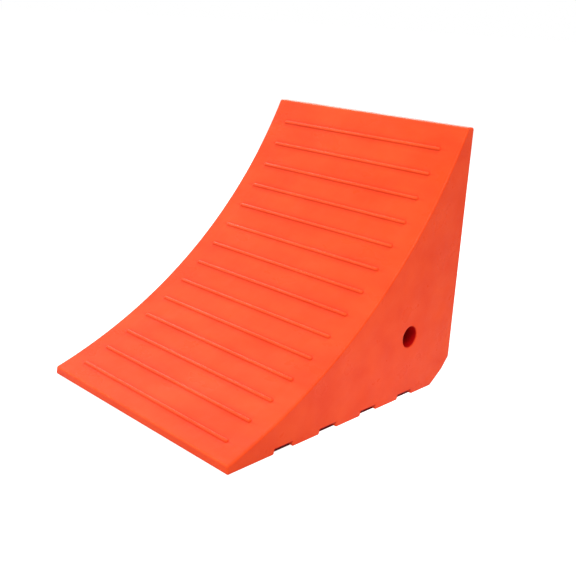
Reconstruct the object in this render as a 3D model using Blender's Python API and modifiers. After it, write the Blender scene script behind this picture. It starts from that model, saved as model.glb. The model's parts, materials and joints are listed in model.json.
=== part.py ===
"""Moulded polyurethane wheel chock with a curved, beaded tyre face.

The chock is one solid casting. Its side outline lies in the XZ plane: +X runs from the thin toe to
the tall heel end, +Z is up, and the outline is extruded along Y. The origin is at the middle of the
base, on the ground. All lengths are in metres.
"""

import math

import bmesh
import bpy
from mathutils import Matrix, Vector

# Overall size
WIDTH = 0.305
LENGTH = 0.366
HEIGHT = 0.313

# Tyre face: one circular arc from the top of the toe to the front of the top land
TOE_HEIGHT = 0.0095
TOP_LAND = 0.012
FACE_RADIUS = 0.600
FACE_STEPS = 44

# Heel: two flat facets between the base and the rear face
HEEL_END_FROM_REAR = 0.0356
HEEL_MIDDLE_FROM_REAR = 0.0133
HEEL_MIDDLE_HEIGHT = 0.0156
REAR_BOTTOM_HEIGHT = 0.0292

# Hole through both sides, for a rope or a bar handle
BORE_DIAMETER = 0.0254
BORE_FROM_TOE = 0.2785
BORE_HEIGHT = 0.0752
BORE_SIDES = 48

# Grip grooves across the base; the last one lies under the bore
GROOVE_COUNT = 4
GROOVE_PITCH = 0.0675
GROOVE_MOUTH = 0.0275
GROOVE_ROOF = 0.0250
GROOVE_DEPTH = 0.0055

# Half-round grip beads across the tyre face
BEAD_COUNT = 14
BEAD_PITCH = 0.0326
FIRST_BEAD_FROM_TOE = 0.0241
BEAD_LENGTH = 0.2535
BEAD_WIDTH = 0.0044
BEAD_RISE = 0.0018
BEAD_SIDES = 16
BEAD_RINGS = 9

# Rounding of every moulded edge
EDGE_RADIUS = 0.0015
EDGE_STEPS = 2
SHARPEST_PLAIN_ANGLE = math.radians(30)
WELD_DISTANCE = 0.00001
CUTTER_OVERRUN = 1.2

ORANGE = (1.0, 0.133, 0.045, 1.0)
ROUGHNESS = 0.45

TOE_X = -LENGTH / 2
REAR_X = LENGTH / 2


def face_centre():
    """Centre of the tyre face's arc, up and ahead of the toe, as (x, z)."""
    toe = Vector((TOE_X, TOE_HEIGHT))
    top = Vector((REAR_X - TOP_LAND, HEIGHT))
    chord = top - toe
    rise = math.sqrt(FACE_RADIUS**2 - (chord.length / 2) ** 2)
    normal = Vector((-chord.y, chord.x)).normalized()
    return (toe + top) / 2 + normal * rise


def face_angle(x):
    """Angle from straight down, at the arc's centre, of the face point at x."""
    return math.asin((x - face_centre().x) / FACE_RADIUS)


def face_point(angle, depth=0.0):
    """Point (x, z) at an angle on the face's arc, or depth metres under it."""
    centre = face_centre()
    radius = FACE_RADIUS + depth
    return (centre.x + radius * math.sin(angle), centre.y - radius * math.cos(angle))


def face_outline():
    """Points of the tyre face, from the top edge down to the toe."""
    start = face_angle(REAR_X - TOP_LAND)
    end = face_angle(TOE_X)
    return [face_point(start + (end - start) * step / FACE_STEPS) for step in range(FACE_STEPS + 1)]


def side_outline():
    """The chock's closed side outline as (x, z) points."""
    heel = [
        (REAR_X - HEEL_END_FROM_REAR, 0.0),
        (REAR_X - HEEL_MIDDLE_FROM_REAR, HEEL_MIDDLE_HEIGHT),
        (REAR_X, REAR_BOTTOM_HEIGHT),
    ]
    return [(TOE_X, 0.0)] + heel + [(REAR_X, HEIGHT)] + face_outline()


def groove_outline():
    """A groove's section as (x, z) points, tapering from its mouth to its roof."""
    taper = (GROOVE_MOUTH - GROOVE_ROOF) / 2 / GROOVE_DEPTH
    below = GROOVE_DEPTH
    low_half = GROOVE_MOUTH / 2 + taper * below
    roof_half = GROOVE_ROOF / 2
    return [
        (-low_half, -below),
        (low_half, -below),
        (roof_half, GROOVE_DEPTH),
        (-roof_half, GROOVE_DEPTH),
    ]


def clear_scene():
    for thing in list(bpy.data.objects):
        bpy.data.objects.remove(thing)


def make_collection(name):
    collection = bpy.data.collections.new(name)
    bpy.context.scene.collection.children.link(collection)
    return collection


def make_material(name, colour, roughness):
    material = bpy.data.materials.new(name)
    material.use_nodes = True
    shader = material.node_tree.nodes["Principled BSDF"]
    shader.inputs["Base Color"].default_value = colour
    shader.inputs["Roughness"].default_value = roughness
    shader.inputs["Metallic"].default_value = 0.0
    return material


def add_object(name, mesh, collection):
    thing = bpy.data.objects.new(name, mesh)
    collection.objects.link(thing)
    return thing


def add_tool(name, mesh, collection):
    """An object that only shapes others, hidden in renders."""
    tool = add_object(name, mesh, collection)
    tool.hide_render = True
    tool.display_type = "WIRE"
    return tool


def extruded_outline(name, points, thickness):
    """Closed mesh of an XZ outline, extruded along Y and centred on it."""
    curve = bpy.data.curves.new(name + "_outline", "CURVE")
    curve.dimensions = "2D"
    curve.fill_mode = "BOTH"
    curve.extrude = thickness / 2
    spline = curve.splines.new("POLY")
    spline.points.add(len(points) - 1)
    for point, (x, z) in zip(spline.points, points):
        point.co = (x, z, 0.0, 1.0)
    spline.use_cyclic_u = True

    flat = bpy.data.objects.new(name + "_outline", curve)
    bpy.context.scene.collection.objects.link(flat)
    flat.rotation_euler = (math.pi / 2, 0.0, 0.0)
    bpy.context.view_layer.update()
    evaluated = flat.evaluated_get(bpy.context.evaluated_depsgraph_get())
    mesh = bpy.data.meshes.new_from_object(evaluated)
    mesh.transform(flat.matrix_world)
    bpy.data.objects.remove(flat)
    bpy.data.curves.remove(curve)

    shape = bmesh.new()
    shape.from_mesh(mesh)
    bmesh.ops.remove_doubles(shape, verts=shape.verts, dist=WELD_DISTANCE)
    sides = [face for face in shape.faces if abs(face.normal.y) > 0.5]
    inner = [edge for edge in shape.edges if all(face in sides for face in edge.link_faces)]
    bmesh.ops.dissolve_edges(shape, edges=inner, use_verts=False)
    bmesh.ops.recalc_face_normals(shape, faces=shape.faces)
    shape.to_mesh(mesh)
    shape.free()
    mesh.name = name
    return mesh


def bead_row_mesh():
    """All the grip beads: capsules along Y, sunk into the tyre face to their rise and width."""
    radius = (BEAD_WIDTH**2 / 4 + BEAD_RISE**2) / (2 * BEAD_RISE)
    # The sphere has an odd number of rings, so its two middle ones, radius apart from the axis,
    # become the ends of the capsule's straight stretch.
    sphere_radius = radius / math.cos(math.pi / (2 * BEAD_RINGS))
    reach = BEAD_LENGTH / 2 - sphere_radius
    first_angle = face_angle(TOE_X) + FIRST_BEAD_FROM_TOE / FACE_RADIUS
    shape = bmesh.new()
    for index in range(BEAD_COUNT):
        angle = first_angle + index * BEAD_PITCH / FACE_RADIUS
        x, z = face_point(angle, depth=radius - BEAD_RISE)
        turn = Matrix.Rotation(-angle, 4, "Y") @ Matrix.Rotation(math.pi / 2, 4, "X")
        made = bmesh.ops.create_uvsphere(
            shape, u_segments=BEAD_SIDES, v_segments=BEAD_RINGS, radius=sphere_radius, matrix=turn
        )
        for vert in made["verts"]:
            vert.co.y += math.copysign(reach, vert.co.y)
            vert.co.x += x
            vert.co.z += z
    mesh = bpy.data.meshes.new("grip_beads")
    shape.to_mesh(mesh)
    shape.free()
    return mesh


def bore_mesh():
    """Cylinder along Y that cuts the hole through both sides."""
    mesh = bpy.data.meshes.new("bore_cutter")
    shape = bmesh.new()
    bmesh.ops.create_cone(
        shape,
        cap_ends=True,
        segments=BORE_SIDES,
        radius1=BORE_DIAMETER / 2,
        radius2=BORE_DIAMETER / 2,
        depth=WIDTH * CUTTER_OVERRUN,
        matrix=Matrix.Rotation(math.pi / 2, 4, "X"),
    )
    shape.to_mesh(mesh)
    shape.free()
    return mesh


def add_boolean(thing, operation, tool):
    step = thing.modifiers.new(tool.name, "BOOLEAN")
    step.operation = operation
    step.solver = "EXACT"
    step.object = tool


def build_chock():
    parts = make_collection("wheel_chock")
    tools = make_collection("wheel_chock_tools")

    beads = add_tool("grip_beads", bead_row_mesh(), tools)
    bore = add_tool("bore_cutter", bore_mesh(), tools)
    bore.location = (TOE_X + BORE_FROM_TOE, 0.0, BORE_HEIGHT)
    groove_mesh = extruded_outline("groove_cutter", groove_outline(), WIDTH * CUTTER_OVERRUN)
    grooves = [add_tool("groove_cutter", groove_mesh, tools) for _ in range(GROOVE_COUNT)]
    for index, groove in enumerate(grooves):
        groove.location.x = TOE_X + BORE_FROM_TOE - index * GROOVE_PITCH

    body = add_object("chock_body", extruded_outline("chock_body", side_outline(), WIDTH), parts)
    body.data.materials.clear()
    body.data.materials.append(make_material("orange_polyurethane", ORANGE, ROUGHNESS))

    rounding = body.modifiers.new("edge_rounding", "BEVEL")
    rounding.limit_method = "ANGLE"
    rounding.angle_limit = SHARPEST_PLAIN_ANGLE
    rounding.width = EDGE_RADIUS
    rounding.segments = EDGE_STEPS
    add_boolean(body, "UNION", beads)
    add_boolean(body, "DIFFERENCE", bore)
    for groove in grooves:
        add_boolean(body, "DIFFERENCE", groove)
    body.data.shade_smooth()
    body.data.set_sharp_from_angle(angle=SHARPEST_PLAIN_ANGLE)


clear_scene()
build_chock()
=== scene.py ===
"""Looks of the moulded wheel chock: the finished casting, its material, the studio and the camera.

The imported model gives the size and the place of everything. The casting is one skin: the chock's
side outline, with every corner rounded, carried across the width through rings of points. The
grip beads stand out of that skin, and a flat side wall with the hole through it closes each end.
All lengths are in metres.
"""
import json
import math
from typing import NamedTuple

import bmesh
import bpy
from mathutils import Matrix, Vector


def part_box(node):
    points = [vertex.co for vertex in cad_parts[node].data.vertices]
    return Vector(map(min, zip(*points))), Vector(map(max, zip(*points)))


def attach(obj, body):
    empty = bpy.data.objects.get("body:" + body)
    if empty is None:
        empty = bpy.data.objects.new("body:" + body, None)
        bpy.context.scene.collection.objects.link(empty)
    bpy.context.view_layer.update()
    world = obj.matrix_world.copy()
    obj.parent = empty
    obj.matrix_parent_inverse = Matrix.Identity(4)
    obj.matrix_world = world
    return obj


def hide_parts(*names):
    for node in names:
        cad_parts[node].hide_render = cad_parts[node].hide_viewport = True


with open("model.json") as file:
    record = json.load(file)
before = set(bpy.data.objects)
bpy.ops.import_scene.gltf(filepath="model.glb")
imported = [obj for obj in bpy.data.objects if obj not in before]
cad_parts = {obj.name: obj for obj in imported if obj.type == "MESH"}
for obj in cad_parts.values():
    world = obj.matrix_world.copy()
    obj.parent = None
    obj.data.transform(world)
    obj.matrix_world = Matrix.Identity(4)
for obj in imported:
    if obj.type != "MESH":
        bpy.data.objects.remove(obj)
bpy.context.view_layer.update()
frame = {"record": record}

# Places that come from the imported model
LOW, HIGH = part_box("chock_body")
TOE_X, REAR_X = LOW.x, HIGH.x
BASE_Z, TOP_Z = LOW.z, HIGH.z
HALF_WIDTH = (HIGH.y - LOW.y) / 2

# Tyre face: one circular arc from the top of the toe to the front of the top land
TOE_HEIGHT = 0.0095
TOP_LAND = 0.012
FACE_RADIUS = 0.600

# Heel: two flat facets between the base and the rear face
HEEL_END_FROM_REAR = 0.0356
HEEL_MIDDLE_FROM_REAR = 0.0133
HEEL_MIDDLE_HEIGHT = 0.0156
REAR_BOTTOM_HEIGHT = 0.0292

# Grip grooves across the base; the last one lies under the hole
GROOVE_COUNT = 4
GROOVE_PITCH = 0.0675
GROOVE_MOUTH = 0.0275
GROOVE_ROOF = 0.0250
GROOVE_DEPTH = 0.0055
ROOF_Z = BASE_Z + GROOVE_DEPTH

# Grip beads across the tyre face
BEAD_COUNT = 14
BEAD_PITCH = 0.0326
FIRST_BEAD_FROM_TOE = 0.0241
BEAD_LENGTH = 0.2535
BEAD_WIDTH = 0.0044
BEAD_RISE = 0.0018
BEAD_FOOT_RADIUS = 0.0006
BEAD_CREST_STEPS = 5
BEAD_FOOT_STEPS = 3

# Hole through both sides
BORE_RADIUS = 0.0127
BORE_MOUTH_RADIUS = 0.0014
BORE_SIDES = 96

# Rounding: a corner of the outline, and the rim where the outline meets a side wall
TOP_CORNER, TOP_RIM = 0.0026, 0.0024
BASE_CORNER, BASE_RIM = 0.0015, 0.0010
ROOF_CORNER = 0.0010
CORNER_STEPS = 6
RIM_STEPS = 6
# A flat stretch has a line of points this close to each end, which keeps its shading flat
MARGIN = 0.0004
# The furthest that two lines of points lie apart: up the face, across the width, on flat stretches
FACE_STEP = 0.006
WIDTH_STEP = 0.012
FLAT_STEP = 0.020
STEP_SLACK = 1e-6

BODY = "root"

# Wear and painted light are one attribute of the skin's points: 1 where worn and paler with a painted
# highlight, -1 where fully painted with shade
WEAR_AND_PAINTED_LIGHT = "wear"
# Crests and rims are paler where worn, which also paints a highlight on them; the beads' hollow feet
# get painted shade
CREST_WEAR_AND_HIGHLIGHT = 0.5
RIM_WEAR_AND_HIGHLIGHT = 0.5
FOOT_PAINTED_SHADE = 0.42
FOOT_PAINTED_SHADE_REACH = 0.0009
# Depth inside the hole from which its wall carries full painted shade
BORE_PAINTED_SHADE_DEPTH = 0.0015


class OutlinePoint(NamedTuple):
    """A point of the side outline: its spot and outward normal in the XZ plane, the radius of the
    rim beside it, how far up the tyre face it lies if it is on that, and its wear and painted light.
    """

    spot: Vector
    normal: Vector
    rim: float
    face_distance: float | None = None
    wear: float = 0.0


def outward(direction):
    """The normal on the right of a direction. The outline runs anticlockwise, so that is outside."""
    return Vector((direction.y, -direction.x))


def spread(marks, step):
    """The sorted marks, with even points added wherever two lie more than a step apart."""
    ordered = sorted(marks)
    places = [ordered[0]]
    for place in ordered[1:]:
        gap = place - places[-1]
        pieces = max(1, math.ceil(gap / step - STEP_SLACK))
        start = places[-1]
        places.extend(start + gap * piece / pieces for piece in range(1, pieces + 1))
    return places


def face_centre():
    """Centre of the tyre face's arc, up and ahead of the toe."""
    toe = Vector((TOE_X, BASE_Z + TOE_HEIGHT))
    top = Vector((REAR_X - TOP_LAND, TOP_Z))
    chord = top - toe
    rise = math.sqrt(FACE_RADIUS**2 - (chord.length / 2) ** 2)
    return (toe + top) / 2 + Vector((-chord.y, chord.x)).normalized() * rise


FACE_CENTRE = face_centre()
TOE_ANGLE = math.asin((TOE_X - FACE_CENTRE.x) / FACE_RADIUS)
TOP_ANGLE = math.asin((REAR_X - TOP_LAND - FACE_CENTRE.x) / FACE_RADIUS)
FACE_LENGTH = FACE_RADIUS * (TOP_ANGLE - TOE_ANGLE)


def face_outline_point(distance):
    """The point of the tyre face that is this far from the toe along the arc."""
    angle = TOE_ANGLE + distance / FACE_RADIUS
    inward = Vector((math.sin(angle), -math.cos(angle)))
    return OutlinePoint(FACE_CENTRE + inward * FACE_RADIUS, -inward, TOP_RIM, distance)


# Grip beads

CREST_RADIUS = (BEAD_WIDTH**2 / 4 + BEAD_RISE**2) / (2 * BEAD_RISE)
CREST_DEPTH = CREST_RADIUS - BEAD_RISE
FOOT_REACH = math.sqrt(
    (CREST_RADIUS + BEAD_FOOT_RADIUS) ** 2 - (BEAD_FOOT_RADIUS + CREST_DEPTH) ** 2
)
CREST_REACH = FOOT_REACH * CREST_RADIUS / (CREST_RADIUS + BEAD_FOOT_RADIUS)
SPINE_HALF_LENGTH = BEAD_LENGTH / 2 - BEAD_WIDTH / 2


def bead_height(from_spine):
    """How far a bead stands out of the face: a round crest that runs into a hollow foot."""
    if from_spine < CREST_REACH:
        return math.sqrt(CREST_RADIUS**2 - from_spine**2) - CREST_DEPTH
    if from_spine < FOOT_REACH:
        return BEAD_FOOT_RADIUS - math.sqrt(BEAD_FOOT_RADIUS**2 - (FOOT_REACH - from_spine) ** 2)
    return 0.0


def bead_offsets():
    """Distances from a bead's spine, outward, that follow its section closely."""
    slope = math.asin(CREST_REACH / CREST_RADIUS)
    crest = [CREST_RADIUS * math.sin(slope * k / BEAD_CREST_STEPS) for k in range(BEAD_CREST_STEPS + 1)]
    foot = [
        FOOT_REACH - BEAD_FOOT_RADIUS * math.sin(slope * (1 - k / BEAD_FOOT_STEPS))
        for k in range(1, BEAD_FOOT_STEPS + 1)
    ]
    return crest + foot + [FOOT_REACH + MARGIN]


def bead_places():
    """How far up the tyre face each bead's spine lies."""
    return [FIRST_BEAD_FROM_TOE + index * BEAD_PITCH for index in range(BEAD_COUNT)]


def distance_from_spine(face_distance, y):
    """Distance along the tyre face to the spine of the nearest bead."""
    nearest = round((face_distance - FIRST_BEAD_FROM_TOE) / BEAD_PITCH)
    spine = FIRST_BEAD_FROM_TOE + min(max(nearest, 0), BEAD_COUNT - 1) * BEAD_PITCH
    past_end = max(0.0, abs(y) - SPINE_HALF_LENGTH)
    return math.hypot(face_distance - spine, past_end)


def bead_wear(from_spine):
    """Worn and paler on the crest, which also paints a highlight there; painted shade in the hollow
    foot.
    """
    wear_and_highlight = CREST_WEAR_AND_HIGHLIGHT * max(0.0, 1.0 - (from_spine / CREST_REACH) ** 2)
    foot_shade = max(0.0, 1.0 - abs(from_spine - FOOT_REACH) / FOOT_PAINTED_SHADE_REACH)
    return wear_and_highlight - FOOT_PAINTED_SHADE * foot_shade


# The side outline

def rounded_corner(before, corner, after, radius, rim):
    """The arc of points that rounds a corner: worn and paler, which also paints a highlight, where it
    is convex; painted shade where it is hollow.
    """
    into = (corner - before).normalized()
    out = (after - corner).normalized()
    turn = math.atan2(into.x * out.y - into.y * out.x, into.dot(out))
    side = math.copysign(1.0, turn)
    reach = radius * math.tan(abs(turn) / 2)
    centre = corner - into * reach - outward(into) * radius * side
    points = []
    for step in range(CORNER_STEPS + 1):
        fraction = step / CORNER_STEPS
        normal = Matrix.Rotation(turn * fraction, 2) @ outward(into)
        wear = side * math.sin(math.pi * fraction)
        points.append(OutlinePoint(centre + normal * radius * side, normal, rim, wear=wear))
    return points


def straight_run(start, end):
    """Points between two corners, without the corners' own points."""
    length = (end.spot - start.spot).length
    direction = (end.spot - start.spot) / length
    margin = min(MARGIN, length / 3)
    places = spread({0.0, margin, length - margin, length}, FLAT_STEP)
    return [
        OutlinePoint(
            start.spot + direction * place,
            outward(direction),
            start.rim + (end.rim - start.rim) * place / length,
        )
        for place in places[1:-1]
    ]


def groove_corners():
    """Corners of the grooves in the base, from the toe towards the heel."""
    bore_x = bore_centre().x
    corners = []
    for index in reversed(range(GROOVE_COUNT)):
        middle = bore_x - index * GROOVE_PITCH
        corners += [
            (Vector((middle - GROOVE_MOUTH / 2, BASE_Z)), BASE_CORNER, BASE_RIM),
            (Vector((middle - GROOVE_ROOF / 2, ROOF_Z)), ROOF_CORNER, BASE_RIM),
            (Vector((middle + GROOVE_ROOF / 2, ROOF_Z)), ROOF_CORNER, BASE_RIM),
            (Vector((middle + GROOVE_MOUTH / 2, BASE_Z)), BASE_CORNER, BASE_RIM),
        ]
    return corners


def bore_centre():
    """Centre of the hole through both sides, from the opening stated in the record."""
    openings = frame["record"]["physics"]["openings"]
    low, high = next(opening["box_m"] for opening in openings if opening["name"] == "cross_hole")
    return Vector(((low[0] + high[0]) / 2, 0.0, (low[2] + high[2]) / 2))


def side_outline():
    """The whole outline's points, anticlockwise from the bottom of the toe."""
    toe_tangent = Vector((math.cos(TOE_ANGLE), math.sin(TOE_ANGLE)))
    top_tangent = Vector((math.cos(TOP_ANGLE), math.sin(TOP_ANGLE)))
    toe_top = Vector((TOE_X, BASE_Z + TOE_HEIGHT))
    top_front = Vector((REAR_X - TOP_LAND, TOP_Z))
    corners = [(Vector((TOE_X, BASE_Z)), BASE_CORNER, BASE_RIM)]
    corners += groove_corners()
    corners += [
        (Vector((REAR_X - HEEL_END_FROM_REAR, BASE_Z)), TOP_CORNER, BASE_RIM),
        (Vector((REAR_X - HEEL_MIDDLE_FROM_REAR, BASE_Z + HEEL_MIDDLE_HEIGHT)), TOP_CORNER, BASE_RIM),
        (Vector((REAR_X, BASE_Z + REAR_BOTTOM_HEIGHT)), TOP_CORNER, TOP_RIM),
        (Vector((REAR_X, TOP_Z)), TOP_CORNER, TOP_RIM),
        (top_front, TOP_CORNER, TOP_RIM),
    ]
    # The places before and after each corner; the two ends of the face use its tangents.
    places = [toe_top] + [corner for corner, _, _ in corners] + [top_front - top_tangent]
    arcs = [
        rounded_corner(before, corner, after, radius, rim)
        for before, (corner, radius, rim), after in zip(places, corners, places[2:])
    ]
    arcs.append(
        rounded_corner(toe_top + toe_tangent, toe_top, corners[0][0], TOP_CORNER, TOP_RIM)
    )

    outline = list(arcs[0])
    for last, arc in zip(arcs, arcs[1:-1]):
        outline += straight_run(last[-1], arc[0])
        outline += arc
    outline += face_run(arcs[-2][-1], arcs[-1][0])
    outline += arcs[-1]
    outline += straight_run(arcs[-1][-1], arcs[0][0])
    # The groove roofs carry full painted shade all over.
    return [
        point._replace(wear=-1.0) if abs(point.spot.y - ROOF_Z) < MARGIN else point
        for point in outline
    ]


def face_run(top, toe):
    """Points down the tyre face between its two rounded ends, close together over each bead."""
    start = (toe.spot - Vector((TOE_X, BASE_Z + TOE_HEIGHT))).length
    end = FACE_LENGTH - (top.spot - Vector((REAR_X - TOP_LAND, TOP_Z))).length
    marks = {start + MARGIN, end - MARGIN}
    for place in bead_places():
        for offset in bead_offsets():
            marks |= {place - offset, place + offset}
    return [face_outline_point(distance) for distance in reversed(spread(marks, FACE_STEP))]


# The skin

def width_places():
    """Places across the width between the two rims, close together over the beads' ends."""
    edge = HALF_WIDTH - TOP_RIM - MARGIN
    marks = {-edge, edge}
    for offset in bead_offsets():
        marks |= {SPINE_HALF_LENGTH + offset, -SPINE_HALF_LENGTH - offset}
    return spread(marks, WIDTH_STEP)


def rim_ring(outline, side, fraction, extra_inset=0.0):
    """A ring of points round a rim, with their wear and painted light: fraction 0 is on the side wall,
    1 on the outline.

    A ring with an extra inset lies on the side wall itself, which has neither wear nor painted light.
    """
    angle = fraction * math.pi / 2
    on_wall = extra_inset > 0
    ring = []
    for point in outline:
        spot = point.spot - point.normal * (point.rim * (1 - math.sin(angle)) + extra_inset)
        place = (spot.x, side * (HALF_WIDTH - point.rim * (1 - math.cos(angle))), spot.y)
        # A rim is paler where worn, which also paints a highlight along it; painted shade stays as it
        # is.
        rim_wear = max(RIM_WEAR_AND_HIGHLIGHT * math.sin(2 * angle), point.wear) * math.sin(angle)
        wear = point.wear if point.wear < 0 else rim_wear
        ring.append((place, 0.0 if on_wall else wear))
    return ring


def plain_ring(outline, y):
    """A ring of points, with their wear and painted light, at one place across the width, with the
    beads on it.
    """
    ring = []
    for point in outline:
        rise, wear = 0.0, point.wear
        if point.face_distance is not None:
            from_spine = distance_from_spine(point.face_distance, y)
            rise, wear = bead_height(from_spine), bead_wear(from_spine)
        spot = point.spot + point.normal * rise
        ring.append(((spot.x, y, spot.y), wear))
    return ring


def bore_ring(radius, y):
    """A ring of points round the hole, with painted shade that deepens into the hole."""
    centre = bore_centre()
    depth = HALF_WIDTH - abs(y)
    # The hole's wall is painted with shade, full from a little inside each mouth.
    wear = -min(depth / BORE_PAINTED_SHADE_DEPTH, 1.0)
    ring = []
    for index in range(BORE_SIDES):
        angle = 2 * math.pi * index / BORE_SIDES
        place = (centre.x + radius * math.cos(angle), y, centre.z + radius * math.sin(angle))
        ring.append((place, wear))
    return ring


def bore_rings():
    """Rings along the hole, from one side wall to the other, with rounded mouths."""
    mouth = []
    for step in range(RIM_STEPS + 1):
        angle = step / RIM_STEPS * math.pi / 2
        radius = BORE_RADIUS + BORE_MOUTH_RADIUS * (1 - math.sin(angle))
        mouth.append((radius, HALF_WIDTH - BORE_MOUTH_RADIUS * (1 - math.cos(angle))))
    mouth.insert(0, (BORE_RADIUS + BORE_MOUTH_RADIUS + MARGIN, HALF_WIDTH))
    reach = HALF_WIDTH - BORE_MOUTH_RADIUS - MARGIN
    wall = [(BORE_RADIUS, y) for y in spread({-reach, reach}, WIDTH_STEP)]
    near = [(radius, -y) for radius, y in mouth]
    return [bore_ring(radius, y) for radius, y in near + wall + mouth[::-1]]


def add_skin(shape, rings):
    """Quads between closed rings of points. Returns the first and the last ring's edges."""
    wear_layer = shape.verts.layers.float[WEAR_AND_PAINTED_LIGHT]
    rows = []
    for ring in rings:
        row = []
        for place, wear in ring:
            vert = shape.verts.new(place)
            vert[wear_layer] = wear
            row.append(vert)
        rows.append(row)
    for row, following in zip(rows, rows[1:]):
        for index in range(len(row)):
            after = (index + 1) % len(row)
            shape.faces.new((row[index], row[after], following[after], following[index]))
    ends = []
    for row in (rows[0], rows[-1]):
        ends.append([shape.edges.get((row[i - 1], row[i])) for i in range(len(row))])
    return ends


def make_casting():
    """The casting's mesh: the outline's skin, the hole's skin and the two side walls between them."""
    outline = side_outline()
    rims = [step / RIM_STEPS for step in range(RIM_STEPS + 1)]
    rings = [rim_ring(outline, -1, 0.0, MARGIN)]
    rings += [rim_ring(outline, -1, fraction) for fraction in rims]
    rings += [plain_ring(outline, y) for y in width_places()]
    rings += [rim_ring(outline, 1, fraction) for fraction in reversed(rims)]
    rings.append(rim_ring(outline, 1, 0.0, MARGIN))

    shape = bmesh.new()
    shape.verts.layers.float.new(WEAR_AND_PAINTED_LIGHT)
    skin_ends = add_skin(shape, rings)
    bore_ends = add_skin(shape, bore_rings())
    for skin_end, bore_end in zip(skin_ends, bore_ends):
        bmesh.ops.triangle_fill(shape, use_beauty=True, edges=skin_end + bore_end)
    bmesh.ops.recalc_face_normals(shape, faces=shape.faces)

    mesh = bpy.data.meshes.new("chock_casting")
    shape.to_mesh(mesh)
    shape.free()
    mesh.shade_smooth()
    casting = bpy.data.objects.new("chock_casting", mesh)
    bpy.context.scene.collection.objects.link(casting)
    return casting


# Materials

WHITE = (1.0, 1.0, 1.0, 1.0)
ORANGE = (0.500, 0.0420, 0.0085)
REDDER_ORANGE = (0.455, 0.0285, 0.0055)
PALE_SPECKLE = (0.500, 0.0400, 0.0020)
# Paler orange where worn, which also paints a highlight on crests and edges
PALE_SCUFF_AND_HIGHLIGHT = (0.560, 0.0620, 0.0140)
# Dark red painted shade in the hole, on the groove roofs, in hollow corners and at the beads' feet
PAINTED_SHADE = (0.300, 0.0010, 0.0012)
GLOSS_LEVEL = 0.05
# Lowest and highest roughness, and its change where the surface is fully worn
SMOOTHEST, ROUGHEST = 0.24, 0.46
WORN_POLISH = -0.25
# Noise patterns, each with its scale and detail
CLOUDS = (30.0, 5.0)
SPECKLE = (650.0, 2.0)
WEAR_AND_HIGHLIGHT_PATCHES = (90.0, 4.0)
GLOSS_PATCHES = (35.0, 5.0)
WAVES = (35.0, 2.0)
GRAIN = (900.0, 3.0)
# The melt ran along the chock's width, so the clouds and the gloss are drawn out along Y
CLOUD_FACTORS = (1.0, 0.4, 1.0)
GLOSS_FACTORS = (1.0, 0.5, 1.0)
SPECKLE_STRENGTH = 0.25
LEAST_WEAR_AND_HIGHLIGHT, MOST_WEAR_AND_HIGHLIGHT = 0.25, 0.75
# Depth of the slow waves and of the fine grain in the moulded surface
WAVE_HEIGHT = 0.00040
GRAIN_HEIGHT = 0.00003
# Noise lies mostly this close to 0.5
NOISE_REACH = 0.2


def new_material(name):
    material = bpy.data.materials.new(name)
    material.use_nodes = True
    tree = material.node_tree
    return material, tree, tree.nodes["Principled BSDF"]


def stretched(tree, place, factors):
    """The place with each axis multiplied, so that noise over it is drawn out or squeezed."""
    mapping = tree.nodes.new("ShaderNodeMapping")
    mapping.inputs["Scale"].default_value = factors
    tree.links.new(place, mapping.inputs["Vector"])
    return mapping.outputs["Vector"]


def noise_map(tree, place, pattern, low=0.0, high=1.0):
    """Noise over a place, made to run from low to high."""
    scale, detail = pattern
    noise = tree.nodes.new("ShaderNodeTexNoise")
    noise.inputs["Scale"].default_value = scale
    noise.inputs["Detail"].default_value = detail
    tree.links.new(place, noise.inputs["Vector"])
    spread_out = tree.nodes.new("ShaderNodeMapRange")
    spread_out.inputs["From Min"].default_value = 0.5 - NOISE_REACH
    spread_out.inputs["From Max"].default_value = 0.5 + NOISE_REACH
    spread_out.inputs["To Min"].default_value = low
    spread_out.inputs["To Max"].default_value = high
    tree.links.new(noise.outputs["Fac"], spread_out.inputs["Value"])
    return spread_out.outputs["Result"]


def arithmetic(tree, operation, first, second):
    """Two sockets, or a socket and a number, put together by a Math node."""
    node = tree.nodes.new("ShaderNodeMath")
    node.operation = operation
    tree.links.new(first, node.inputs[0])
    if isinstance(second, float):
        node.inputs[1].default_value = second
    else:
        tree.links.new(second, node.inputs[1])
    return node.outputs["Value"]


def colour_mix(tree, factor, first, second):
    """The first colour, or socket, where the factor is 0, and the second colour where it is 1."""
    mix = tree.nodes.new("ShaderNodeMix")
    mix.data_type = "RGBA"
    tree.links.new(factor, mix.inputs["Factor"])
    if isinstance(first, tuple):
        mix.inputs["A"].default_value = (*first, 1.0)
    else:
        tree.links.new(first, mix.inputs["A"])
    mix.inputs["B"].default_value = (*second, 1.0)
    return mix.outputs["Result"]


def add_bump(tree, height, distance, below=None):
    """The shading normal over a height map, on top of the one below it."""
    bump = tree.nodes.new("ShaderNodeBump")
    bump.inputs["Distance"].default_value = distance
    tree.links.new(height, bump.inputs["Height"])
    if below is not None:
        tree.links.new(below, bump.inputs["Normal"])
    return bump.outputs["Normal"]


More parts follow.
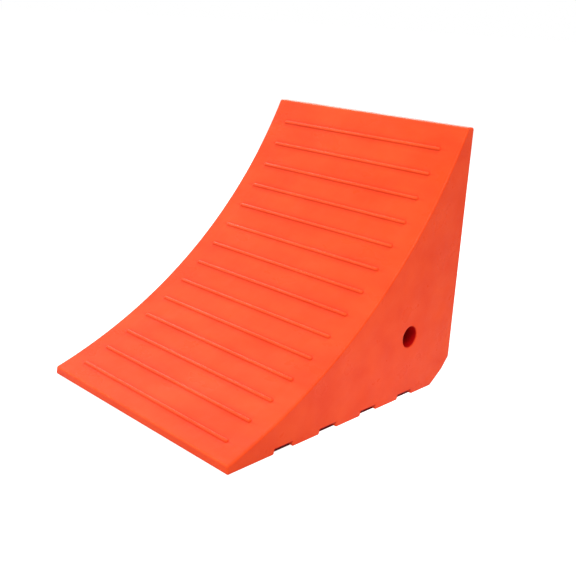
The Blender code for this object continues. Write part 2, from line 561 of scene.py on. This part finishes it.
def orange_polyurethane():
    """Cast polyurethane: cloudy orange with fine speckle, worn crests and edges that are paler with a
    painted highlight, painted shade in hollows, and grain.
    """
    material, tree, shader = new_material("orange_polyurethane")
    place = tree.nodes.new("ShaderNodeTexCoord").outputs["Object"]

    clouds = noise_map(tree, stretched(tree, place, CLOUD_FACTORS), CLOUDS)
    colour = colour_mix(tree, clouds, ORANGE, REDDER_ORANGE)
    speckle = noise_map(tree, place, SPECKLE, high=SPECKLE_STRENGTH)
    colour = colour_mix(tree, speckle, colour, PALE_SPECKLE)

    # Below 0 the attribute leaves the colour alone, and the painted shade takes over.
    wear = tree.nodes.new("ShaderNodeAttribute")
    wear.attribute_name = WEAR_AND_PAINTED_LIGHT
    patchy = noise_map(tree, place, WEAR_AND_HIGHLIGHT_PATCHES, LEAST_WEAR_AND_HIGHLIGHT, MOST_WEAR_AND_HIGHLIGHT)
    # Paler colour where worn, which also paints a highlight on crests and edges.
    wear_and_highlight = arithmetic(tree, "MULTIPLY", wear.outputs["Fac"], patchy)
    colour = colour_mix(tree, wear_and_highlight, colour, PALE_SCUFF_AND_HIGHLIGHT)
    painted_shade_amount = arithmetic(tree, "MULTIPLY", wear.outputs["Fac"], -1.0)
    colour = colour_mix(tree, painted_shade_amount, colour, PAINTED_SHADE)
    tree.links.new(colour, shader.inputs["Base Color"])

    uneven = noise_map(tree, stretched(tree, place, GLOSS_FACTORS), GLOSS_PATCHES, SMOOTHEST, ROUGHEST)
    roughness = arithmetic(tree, "ADD", uneven, arithmetic(tree, "MULTIPLY", wear_and_highlight, WORN_POLISH))
    tree.links.new(roughness, shader.inputs["Roughness"])
    shader.inputs["Specular IOR Level"].default_value = GLOSS_LEVEL

    waves = add_bump(tree, noise_map(tree, place, WAVES), WAVE_HEIGHT)
    grain = add_bump(tree, noise_map(tree, place, GRAIN), GRAIN_HEIGHT, waves)
    tree.links.new(grain, shader.inputs["Normal"])
    return material


# Studio: a white surround, a glowing white table and soft boxes

SURROUND_STRENGTH = 1.0
FLOOR_SIZE = 60.0
PALE_FLOOR = (0.45, 0.45, 0.45)
FLOOR_ROUGHNESS = 0.9
FLOOR_GLOW = 0.56
# The table glows more in a round patch beside the chock
NEAR_GLOW = 1.6
GLOW_CENTRE = Vector((0.06, -0.28, 0.0))
GLOW_RADIUS = 0.35
# The table is dark, in the chock's own bounced light, from this far inside the chock's base
SHADE_INSET = 0.0045
SHADED_FLOOR = (0.30, 0.05, 0.05)
# name, azimuth, elevation, distance, size, radiance; azimuth 0 is the -Y side, 90 the +X side
SOFT_BOXES = [
    ("front_high", -40.0, 60.0, 1.6, 1.0, 10.0),
    ("behind_low", 135.0, 20.0, 1.8, 1.2, 2.5),
    ("behind_high", 150.0, 40.0, 1.5, 0.8, 3.5),
    ("far_side_low", -135.0, 25.0, 1.8, 1.2, 3.6),
    ("far_side_high", 180.0, 55.0, 1.8, 1.2, 2.4),
    ("far_side_floor", 180.0, 20.0, 1.8, 1.2, 1.5),
]


def clear_of_chock(tree, place):
    """0 on the table deep under the chock, where no light reaches, and 1 elsewhere."""
    heel_x = REAR_X - HEEL_END_FROM_REAR
    half_length = (heel_x - TOE_X) / 2 - SHADE_INSET
    half_width = HALF_WIDTH - SHADE_INSET
    footprint = tree.nodes.new("ShaderNodeMapping")
    footprint.vector_type = "TEXTURE"
    footprint.inputs["Location"].default_value = ((TOE_X + heel_x) / 2, 0.0, 0.0)
    footprint.inputs["Scale"].default_value = (half_length, half_width, 1.0)
    tree.links.new(place, footprint.inputs["Vector"])
    axes = tree.nodes.new("ShaderNodeSeparateXYZ")
    tree.links.new(footprint.outputs["Vector"], axes.inputs["Vector"])
    along = arithmetic(tree, "MULTIPLY", axes.outputs["X"], axes.outputs["X"])
    across = arithmetic(tree, "MULTIPLY", axes.outputs["Y"], axes.outputs["Y"])
    return arithmetic(tree, "GREATER_THAN", arithmetic(tree, "MAXIMUM", along, across), 1.0)


def pale_floor():
    """A white table top that glows a little, more beside the chock and not at all under it."""
    material, tree, shader = new_material("pale_floor")
    place = tree.nodes.new("ShaderNodeTexCoord").outputs["Object"]
    clear = clear_of_chock(tree, place)
    colour = colour_mix(tree, clear, SHADED_FLOOR, PALE_FLOOR)
    tree.links.new(colour, shader.inputs["Base Color"])
    shader.inputs["Roughness"].default_value = FLOOR_ROUGHNESS
    shader.inputs["Specular IOR Level"].default_value = 0.0

    patch = tree.nodes.new("ShaderNodeMapping")
    patch.vector_type = "TEXTURE"
    patch.inputs["Location"].default_value = GLOW_CENTRE
    patch.inputs["Scale"].default_value = (GLOW_RADIUS, GLOW_RADIUS, GLOW_RADIUS)
    tree.links.new(place, patch.inputs["Vector"])
    glow = tree.nodes.new("ShaderNodeTexGradient")
    glow.gradient_type = "QUADRATIC_SPHERE"
    tree.links.new(patch.outputs["Vector"], glow.inputs["Vector"])
    strength = tree.nodes.new("ShaderNodeMapRange")
    strength.inputs["To Min"].default_value = FLOOR_GLOW
    strength.inputs["To Max"].default_value = FLOOR_GLOW + NEAR_GLOW
    tree.links.new(glow.outputs["Fac"], strength.inputs["Value"])
    lit = arithmetic(tree, "MULTIPLY", strength.outputs["Result"], clear)
    tree.links.new(lit, shader.inputs["Emission Strength"])
    shader.inputs["Emission Color"].default_value = WHITE
    return material


def make_floor():
    mesh = bpy.data.meshes.new("floor")
    shape = bmesh.new()
    bmesh.ops.create_grid(shape, x_segments=1, y_segments=1, size=FLOOR_SIZE / 2)
    shape.to_mesh(mesh)
    shape.free()
    mesh.materials.append(pale_floor())
    floor = bpy.data.objects.new("floor", mesh)
    floor.location.z = BASE_Z
    bpy.context.scene.collection.objects.link(floor)


def direction_to(azimuth, elevation):
    """The unit vector towards an azimuth and an elevation in degrees."""
    a, e = math.radians(azimuth), math.radians(elevation)
    return Vector((math.sin(a) * math.cos(e), -math.cos(a) * math.cos(e), math.sin(e)))


def make_lights():
    """The soft boxes, all facing the middle of the chock."""
    middle = (LOW + HIGH) / 2
    for name, azimuth, elevation, distance, size, radiance in SOFT_BOXES:
        data = bpy.data.lights.new(name, "AREA")
        data.shape = "SQUARE"
        data.size = size
        data.energy = radiance * math.pi * size**2
        light = bpy.data.objects.new(name, data)
        towards = direction_to(azimuth, elevation)
        light.location = middle + towards * distance
        light.rotation_euler = towards.to_track_quat("Z", "Y").to_euler()
        bpy.context.scene.collection.objects.link(light)


def make_world():
    world = bpy.data.worlds.new("studio")
    world.use_nodes = True
    background = world.node_tree.nodes["Background"]
    background.inputs["Color"].default_value = WHITE
    background.inputs["Strength"].default_value = SURROUND_STRENGTH
    bpy.context.scene.world = world


# Camera: a little above the chock's top, turned to show the tyre face and the -Y side

CAMERA_AZIMUTH = -46.498
CAMERA_ELEVATION = 15.372
CAMERA_ROLL = 3.380
CAMERA_LENS = 53.77
CAMERA_SHIFT_Y = -0.0659
# Camera place from the bottom of the toe's middle
CAMERA_FROM_TOE = Vector((-0.5006, -0.6897, 0.4278))


def make_camera():
    data = bpy.data.cameras.new("camera")
    data.lens = CAMERA_LENS
    data.shift_y = CAMERA_SHIFT_Y
    camera = bpy.data.objects.new("camera", data)
    back = direction_to(CAMERA_AZIMUTH, CAMERA_ELEVATION)
    aim = back.to_track_quat("Z", "Y").to_matrix()
    roll = Matrix.Rotation(math.radians(CAMERA_ROLL), 3, "Z")
    camera.rotation_euler = (aim @ roll).to_euler()
    camera.location = Vector((TOE_X, 0.0, BASE_Z)) + CAMERA_FROM_TOE
    bpy.context.scene.collection.objects.link(camera)
    bpy.context.scene.camera = camera


bpy.context.scene.view_settings.view_transform = "Standard"
make_world()
make_floor()
make_lights()
make_camera()

casting = make_casting()
casting.data.materials.append(orange_polyurethane())
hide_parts("chock_body")
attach(casting, BODY)
